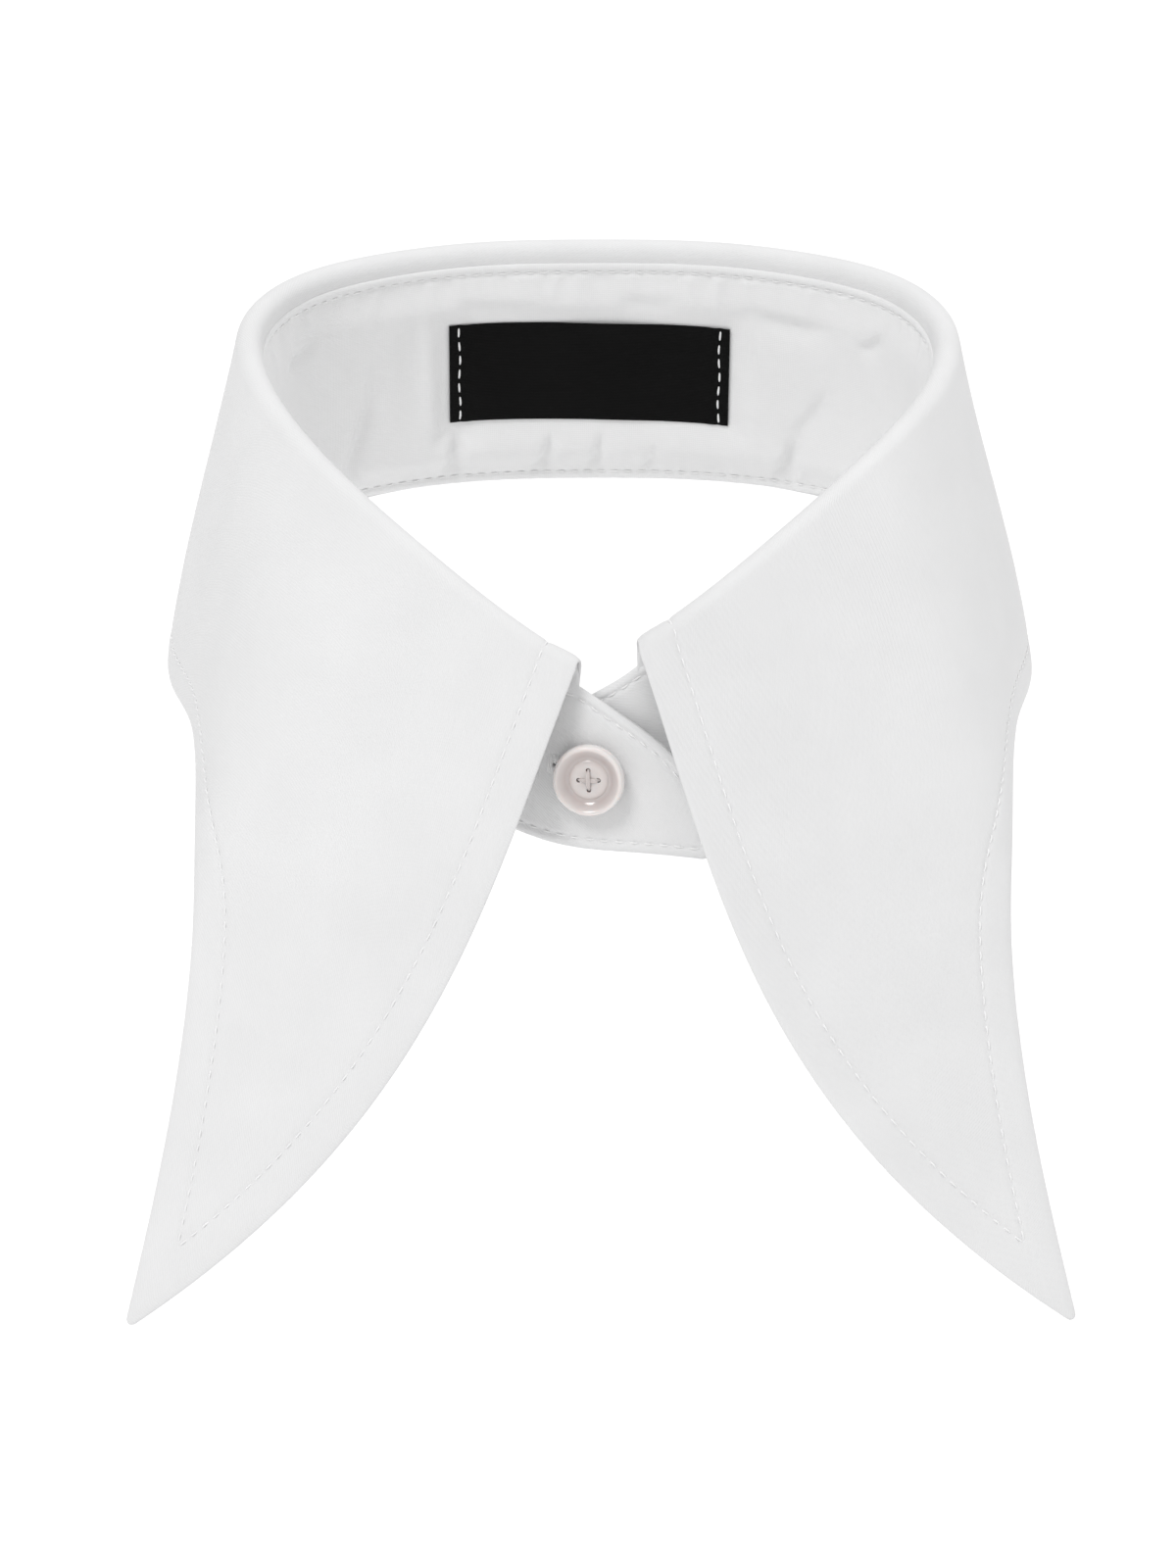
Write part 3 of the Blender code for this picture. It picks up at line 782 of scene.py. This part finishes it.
def make_label(neck, looks):
    """The woven label: bare black satin with its two ends turned under and sewn down."""
    runs = with_near_edges(np.linspace(-LABEL_WIDTH / 2, LABEL_WIDTH / 2, 130))
    levels = with_near_edges(np.linspace(-LABEL_HEIGHT / 2, LABEL_HEIGHT / 2, 52))
    run_field, level_field = np.meshgrid(runs, levels, indexing="ij")
    height_field = level_field + LABEL_LEVEL - LABEL_TURN * run_field
    points = neck.band_points(run_field + neck.back_run + LABEL_SHIFT, height_field)
    from_end = LABEL_WIDTH / 2 - abs(run_field)
    from_side = LABEL_HEIGHT / 2 - abs(level_field)
    waves = 0.16 * soft_waves(run_field / 7, level_field / 6, 31) * smooth_step(from_end, 2.0, 6.0)
    side_wave = 0.22 * np.sin(run_field / 5.2 + 0.6) * bell(from_side, 2.5) * smooth_step(from_end, 2.0, 5.0)
    turned = 0.12 * (1 - smooth_step(from_end, 3.2, 4.4))
    stitch = -0.16 * bell(from_end - LABEL_STITCH_INSET, 0.35)
    relief = np.maximum(waves + side_wave, 0.0) + turned + stitch
    label, shown, out = ply(
        "neck_label", points, LABEL_SEAT, np.minimum(from_end, from_side), looks["label"],
        relief, thickness=LABEL_PLY)
    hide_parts("label")
    tubes = []
    for end in (-1, 1):
        row = np.interp(end * (LABEL_WIDTH / 2 - LABEL_STITCH_INSET), runs, range(len(runs)))
        columns = np.linspace(1.0, len(levels) - 2.0, 60)
        wander = 0.12 * np.sin(columns / 4.0 + end) * len(runs) / LABEL_WIDTH
        places = np.stack([row + wander, columns], axis=1)
        tubes += stitches(read_grid(shown, places), read_grid(out, places), 2.5, 0.19)
    sewing = thread_piece("label_stitching", tubes, looks["thread"])


def turned_solid(profile, sides):
    """A closed solid of revolution about Z, from a profile that starts and ends on the axis."""
    shape = bmesh.new()
    bottom = shape.verts.new((0.0, 0.0, profile[0][1] * MM))
    top = shape.verts.new((0.0, 0.0, profile[-1][1] * MM))
    turns = [2 * math.pi * side / sides for side in range(sides)]
    rings = []
    for radius, height in profile[1:-1]:
        rings.append([
            shape.verts.new((radius * MM * math.cos(turn), radius * MM * math.sin(turn), height * MM))
            for turn in turns])
    for side in range(sides):
        after = (side + 1) % sides
        shape.faces.new((bottom, rings[0][after], rings[0][side]))
        shape.faces.new((top, rings[-1][side], rings[-1][after]))
        for lower, upper in zip(rings, rings[1:]):
            shape.faces.new((lower[side], lower[after], upper[after], upper[side]))
    mesh = bpy.data.meshes.new("turned")
    shape.to_mesh(mesh)
    shape.free()
    made = bpy.data.objects.new("turned", mesh)
    bpy.context.scene.collection.objects.link(made)
    return made


def smooth_profile(keys, rounds):
    """A finer profile through the corner points, rounded as a turned edge is."""
    keys = np.array(keys, float)
    for _ in range(rounds):
        first = keys[:-1] * 0.75 + keys[1:] * 0.25
        second = keys[:-1] * 0.25 + keys[1:] * 0.75
        keys = np.concatenate([keys[:1], np.stack([first, second], axis=1).reshape(-1, 2), keys[-1:]])
    return [tuple(key) for key in keys]


def button_body(holes):
    """The button's solid, lying on its back at the origin: a raised rim round a lower disc with holes."""
    radius = BUTTON_RADIUS
    keys = (
        (radius * 0.30, 0.0), (radius * 0.72, 0.0), (radius * 0.93, 0.45), (radius, 1.15),
        (radius * 0.995, 2.0), (radius * 0.965, 2.75), (radius * 0.88, 2.9), (radius * 0.80, 2.5),
        (radius * 0.66, 1.75), (radius * 0.56, 1.55), (radius * 0.53, 1.75),
        (radius * 0.45, BUTTON_FLOOR), (radius * 0.2, BUTTON_FLOOR))
    body = turned_solid([(0.0, 0.0)] + smooth_profile(keys, 2) + [(0.0, BUTTON_FLOOR)], 96)
    cutters = []
    for hole in holes:
        cutter = turned_solid(((0.0, -1.0), (HOLE_RADIUS, -1.0), (HOLE_RADIUS, 4.0), (0.0, 4.0)), 24)
        cutter.location = (hole[0] * MM, hole[1] * MM, 0.0)
        cut = body.modifiers.new("hole", "BOOLEAN")
        cut.object = cutter
        cut.solver = "EXACT"
        cutters.append(cutter)
    bpy.context.view_layer.update()
    mesh = bpy.data.meshes.new_from_object(body.evaluated_get(bpy.context.evaluated_depsgraph_get()))
    for old in cutters + [body]:
        bpy.data.objects.remove(old, do_unlink=True)
    rings = mesh.uv_layers.new(name="rings")
    for loop in mesh.loops:
        x, y, z = mesh.vertices[loop.vertex_index].co
        rings.data[loop.index].uv = (math.hypot(x, y) / (radius * MM), z / (radius * MM))
    return mesh


def make_button(neck, looks, lining, lining_out):
    """A four-hole shirt button, sewn on with crossed thread through the buttonhole."""
    run = np.array([neck.run_at(BUTTON_ACROSS)])
    _, foot, out, up = neck.frames(run)
    level = neck.band_height(run)[0] * BUTTON_LEVEL
    seat = neck_to_world(foot[0] + up[0] * level + out[0] * BUTTON_SEAT)
    out = neck_to_world(out[0])
    up = neck_to_world(up[0])
    side = np.cross(up, out)
    turns = [HOLE_TURN + math.pi / 2 * k for k in range(4)]
    holes = [HOLE_REACH * np.array([math.cos(turn), math.sin(turn)]) for turn in turns]
    mesh = button_body(holes)
    mesh.name = "shirt_button"
    mesh.transform(Matrix.Translation(seat * MM) @ Matrix((side, up, out)).transposed().to_4x4())
    mesh.materials.clear()
    mesh.shade_smooth()
    mesh.set_sharp_from_angle(angle=math.radians(50))
    button = link("shirt_button", mesh, looks["resin"])
    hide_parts("button")

    flat_lining = lining.reshape(-1, 3)
    nearest = np.argmin(np.linalg.norm(flat_lining - (seat - out * 5.6), axis=1))
    inside, inside_out = flat_lining[nearest], lining_out.reshape(-1, 3)[nearest]
    inside_side = unit(np.cross(up, inside_out))
    inside_up = np.cross(inside_out, inside_side)
    share = np.linspace(0, 1, 9)
    arch = np.sin(np.pi * share)
    tubes = []
    for first, second, rise in ((holes[0], holes[2], 0.16), (holes[1], holes[3], 0.42)):
        way = unit(second - first)
        beside = np.array([-way[1], way[0]])
        for strand in (-0.22, 0.0, 0.22):
            flat = 1.1 * (first + (second - first) * share[:, None])
            flat = flat + beside * (strand * (0.5 + 0.5 * arch))[:, None]
            lift = BUTTON_FLOOR - 0.58 + 0.7 * np.clip(arch * 2.2, 0, 1) + rise * arch
            tubes.append(thread(
                seat + flat[:, :1] * side + flat[:, 1:] * up + lift[:, None] * out, out, BUTTON_THREAD))
            lift = 0.22 * arch[:, None] + 0.02
            tubes.append(thread(inside + flat[:,
                :1] * inside_side + flat[:, 1:] * inside_up + lift * inside_out,
                                inside_out, 0.15))
    for hole in holes:
        rise = np.linspace(0.3, BUTTON_FLOOR - 0.2, 4)[:, None]
        tubes.append(thread(seat + hole[0] * side + hole[1] * up + rise * out, up, HOLE_RADIUS * 0.9))
    for strand in range(8):
        angle = 2 * math.pi * strand / 8
        start = seat + 0.85 * math.cos(angle) * side + 0.2 * math.sin(angle) * up + 0.1 * out
        stop = inside + start - seat - 0.4 * inside_out
        tubes.append(thread(start + (stop - start) * np.linspace(0, 1, 6)[:, None], up, 0.17))
    thread_piece("button_thread", tubes, looks["button_thread"])


def scaled_noise(tree, vector, scale, detail, low, high):
    noise = tree.nodes.new("ShaderNodeTexNoise")
    noise.inputs["Scale"].default_value = scale
    noise.inputs["Detail"].default_value = detail
    tree.links.new(vector, noise.inputs["Vector"])
    ramp = tree.nodes.new("ShaderNodeMapRange")
    ramp.inputs["To Min"].default_value = low
    ramp.inputs["To Max"].default_value = high
    tree.links.new(noise.outputs["Fac"], ramp.inputs["Value"])
    return ramp.outputs["Result"]


def maths(tree, operation, *values):
    node = tree.nodes.new("ShaderNodeMath")
    node.operation = operation
    for socket, value in zip(node.inputs, values):
        if isinstance(value, (int, float)):
            socket.default_value = value
        else:
            tree.links.new(value, socket)
    return node.outputs[0]


def tinted(tree, shader, dark, light, factor):
    tint = tree.nodes.new("ShaderNodeMix")
    tint.data_type = "RGBA"
    tint.inputs[6].default_value = dark + (1.0,)
    tint.inputs[7].default_value = light + (1.0,)
    tree.links.new(factor, tint.inputs[0])
    tree.links.new(tint.outputs[2], shader.inputs["Base Color"])


def bumped(tree, shader, height, strength, distance):
    bump = tree.nodes.new("ShaderNodeBump")
    bump.inputs["Strength"].default_value = strength
    bump.inputs["Distance"].default_value = distance * MM
    tree.links.new(height, bump.inputs["Height"])
    tree.links.new(bump.outputs["Normal"], shader.inputs["Normal"])


def start_material(name, settings):
    made = bpy.data.materials.new(name)
    made.use_nodes = True
    shader = made.node_tree.nodes["Principled BSDF"]
    for socket, value in settings.items():
        shader.inputs[socket].default_value = value
    return made, made.node_tree, shader, made.node_tree.nodes.new("ShaderNodeTexCoord")


def cloth_material(name, dark, light, threads, pitch, strength, settings):
    """Woven cloth: rows of thread in the cloth's own directions, with slubs and soft mottling."""
    made, tree, shader, place = start_material(name, settings)
    uv = place.outputs["UV"]
    weave = scaled_noise(tree, uv, 1500.0, 2.0, 0.0, 0.25)
    for angle, share in threads:
        turn = tree.nodes.new("ShaderNodeMapping")
        turn.inputs["Rotation"].default_value = (0, 0, math.radians(angle))
        tree.links.new(uv, turn.inputs["Vector"])
        wave = tree.nodes.new("ShaderNodeTexWave")
        wave.inputs["Scale"].default_value = math.pi / (10 * pitch * MM)
        wave.inputs["Distortion"].default_value = 1.5
        wave.inputs["Detail"].default_value = 1.0
        wave.inputs["Detail Scale"].default_value = 0.6
        tree.links.new(turn.outputs["Vector"], wave.inputs["Vector"])
        weave = maths(tree, "MULTIPLY_ADD", wave.outputs["Fac"], share, weave)
    slub = tree.nodes.new("ShaderNodeMapping")
    slub.inputs["Scale"].default_value = (1.0, 7.0, 1.0)
    tree.links.new(uv, slub.inputs["Vector"])
    weave = maths(tree, "ADD", weave, scaled_noise(tree, slub.outputs["Vector"], 320.0, 3.0, 0.0, 0.45))
    bumped(tree, shader, weave, strength, 0.07)
    mottle = scaled_noise(tree, place.outputs["Object"], 80.0, 4.0, 0.0, 0.55)
    tinted(tree, shader, dark, light, maths(tree, "MULTIPLY_ADD", weave, 0.4, mottle))
    return made


def grained_material(name, dark, light, scale, strength, settings):
    """A material whose colour and surface vary with one fine noise."""
    made, tree, shader, place = start_material(name, settings)
    grain = scaled_noise(tree, place.outputs["Object"], scale, 3.0, 0.0, 1.0)
    tinted(tree, shader, dark, light, grain)
    bumped(tree, shader, grain, strength, 0.05)
    return made


def resin_material():
    """Polished resin of the button, its tone changing from the disc over the hollow ring to the rim, with
    painted shade darkening the hollow ring and a painted highlight lightening the rim.
    """
    made, tree, shader, place = start_material("button_resin_painted_shade", {
        "Roughness": 0.16, "Coat Weight": 0.5, "Coat Roughness": 0.06, "Subsurface Weight": 0.5,
        "Subsurface Radius": (1.0, 0.75, 0.65), "Subsurface Scale": 1.2 * MM})
    rings = tree.nodes.new("ShaderNodeValToRGB")
    split = tree.nodes.new("ShaderNodeSeparateXYZ")
    tree.links.new(place.outputs["UV"], split.inputs["Vector"])
    cloud = scaled_noise(tree, place.outputs["Object"], 300.0, 3.0, -0.03, 0.03)
    tree.links.new(maths(tree, "ADD", split.outputs["X"], cloud), rings.inputs["Fac"])
    # The ring tones paint shade into the hollow ring and a highlight onto the rim, besides the resin's own
    # tone
    while len(rings.color_ramp.elements) < len(RESIN_TONES_AND_PAINTED_SHADE):
        rings.color_ramp.elements.new(0.5)
    for stop, (share, colour) in zip(rings.color_ramp.elements, RESIN_TONES_AND_PAINTED_SHADE):
        stop.position = share
        stop.color = colour + (1.0,)
    tree.links.new(rings.outputs["Color"], shader.inputs["Base Color"])
    return made


def make_looks():
    return {
        "satin": cloth_material(
            "white_satin_weave", (0.648, 0.648, 0.651), (0.755, 0.755, 0.758),
            ((62.0, 0.5), (90.0, 0.2)), 0.40, 0.5,
            {"Roughness": 0.72, "Sheen Weight": 0.15, "Sheen Roughness": 0.4, "Specular IOR Level": 0.35}),
        "poplin": cloth_material(
            "white_poplin", (0.70, 0.70, 0.702), (0.815, 0.815, 0.817),
            ((0.0, 0.35), (90.0, 0.5)), 0.34, 0.4,
            {"Roughness": 0.82, "Sheen Weight": 0.12, "Sheen Roughness": 0.5, "Specular IOR Level": 0.3}),
        "label": cloth_material(
            "black_label_satin", (0.002, 0.002, 0.002), (0.006, 0.006, 0.006), ((90.0, 0.8),), 0.30, 0.7,
            {"Roughness": 0.55, "Specular IOR Level": 0.05}),
        "thread": grained_material(
            "white_sewing_thread", (0.74, 0.74, 0.74), (0.87, 0.87, 0.87), 2600.0, 0.5,
            {"Roughness": 0.6, "Sheen Weight": 0.2}),
        "button_thread": grained_material(
            "button_sewing_thread", (0.52, 0.47, 0.455), (0.64, 0.59, 0.575), 2600.0, 0.5,
            {"Roughness": 0.6, "Sheen Weight": 0.2}),
        "resin": resin_material(),
    }


def make_stage():
    bpy.ops.mesh.primitive_plane_add(size=60.0, location=(0, 0, FLOOR_HEIGHT))
    floor = bpy.context.object
    floor.name = "studio_floor"
    look, _, shader, _ = start_material("pale_floor", {"Roughness": 0.9})
    shader.inputs["Base Color"].default_value = (0.98, 0.98, 0.98, 1.0)
    floor.data.materials.append(look)


def make_light():
    world = bpy.data.worlds.new("studio")
    bpy.context.scene.world = world
    world.use_nodes = True
    sky = world.node_tree.nodes["Background"]
    sky.inputs["Color"].default_value = (1.0, 1.0, 1.0, 1.0)
    sky.inputs["Strength"].default_value = WORLD_STRENGTH
    for name, way, width, strength in LAMPS:
        data = bpy.data.lights.new(name, "SUN")
        data.angle = math.radians(width)
        data.energy = strength
        lamp = bpy.data.objects.new(name, data)
        bpy.context.scene.collection.objects.link(lamp)
        lamp.location = way
        lamp.rotation_euler = (-Vector(way)).to_track_quat("-Z", "Y").to_euler()
    bpy.context.scene.view_settings.view_transform = "Standard"
    bpy.context.scene.view_settings.look = "None"


def make_camera():
    """The photograph's view: a long lens a little above and to the left of the collar's front."""
    ahead = Vector((
        math.sin(CAMERA_AZIMUTH) * math.cos(CAMERA_ELEVATION),
        math.cos(CAMERA_AZIMUTH) * math.cos(CAMERA_ELEVATION),
        -math.sin(CAMERA_ELEVATION)))
    right = Vector((math.cos(CAMERA_AZIMUTH), -math.sin(CAMERA_AZIMUTH), 0.0))
    up = right.cross(ahead)
    place = -CAMERA_DISTANCE * ahead
    place -= up * (CENTRE_DOWN_PX / FOCAL_PX * CAMERA_DISTANCE)
    place -= right * (CENTRE_RIGHT_PX / FOCAL_PX * CAMERA_DISTANCE)
    data = bpy.data.cameras.new("camera")
    data.sensor_fit = "VERTICAL"
    data.sensor_height = SENSOR_HEIGHT
    data.lens = FOCAL_PX / IMAGE_HEIGHT_PX * SENSOR_HEIGHT
    camera = bpy.data.objects.new("camera", data)
    bpy.context.scene.collection.objects.link(camera)
    camera.matrix_world = Matrix.Translation(place * MM) @ Matrix((right, up, -ahead)).transposed().to_4x4()
    bpy.context.scene.camera = camera


def main():
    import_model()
    neck = Neck()
    looks = make_looks()
    make_leaf(neck, looks)
    lining, lining_out = make_band(neck, looks)
    make_label(neck, looks)
    make_button(neck, looks, lining, lining_out)
    make_stage()
    make_light()
    make_camera()


main()
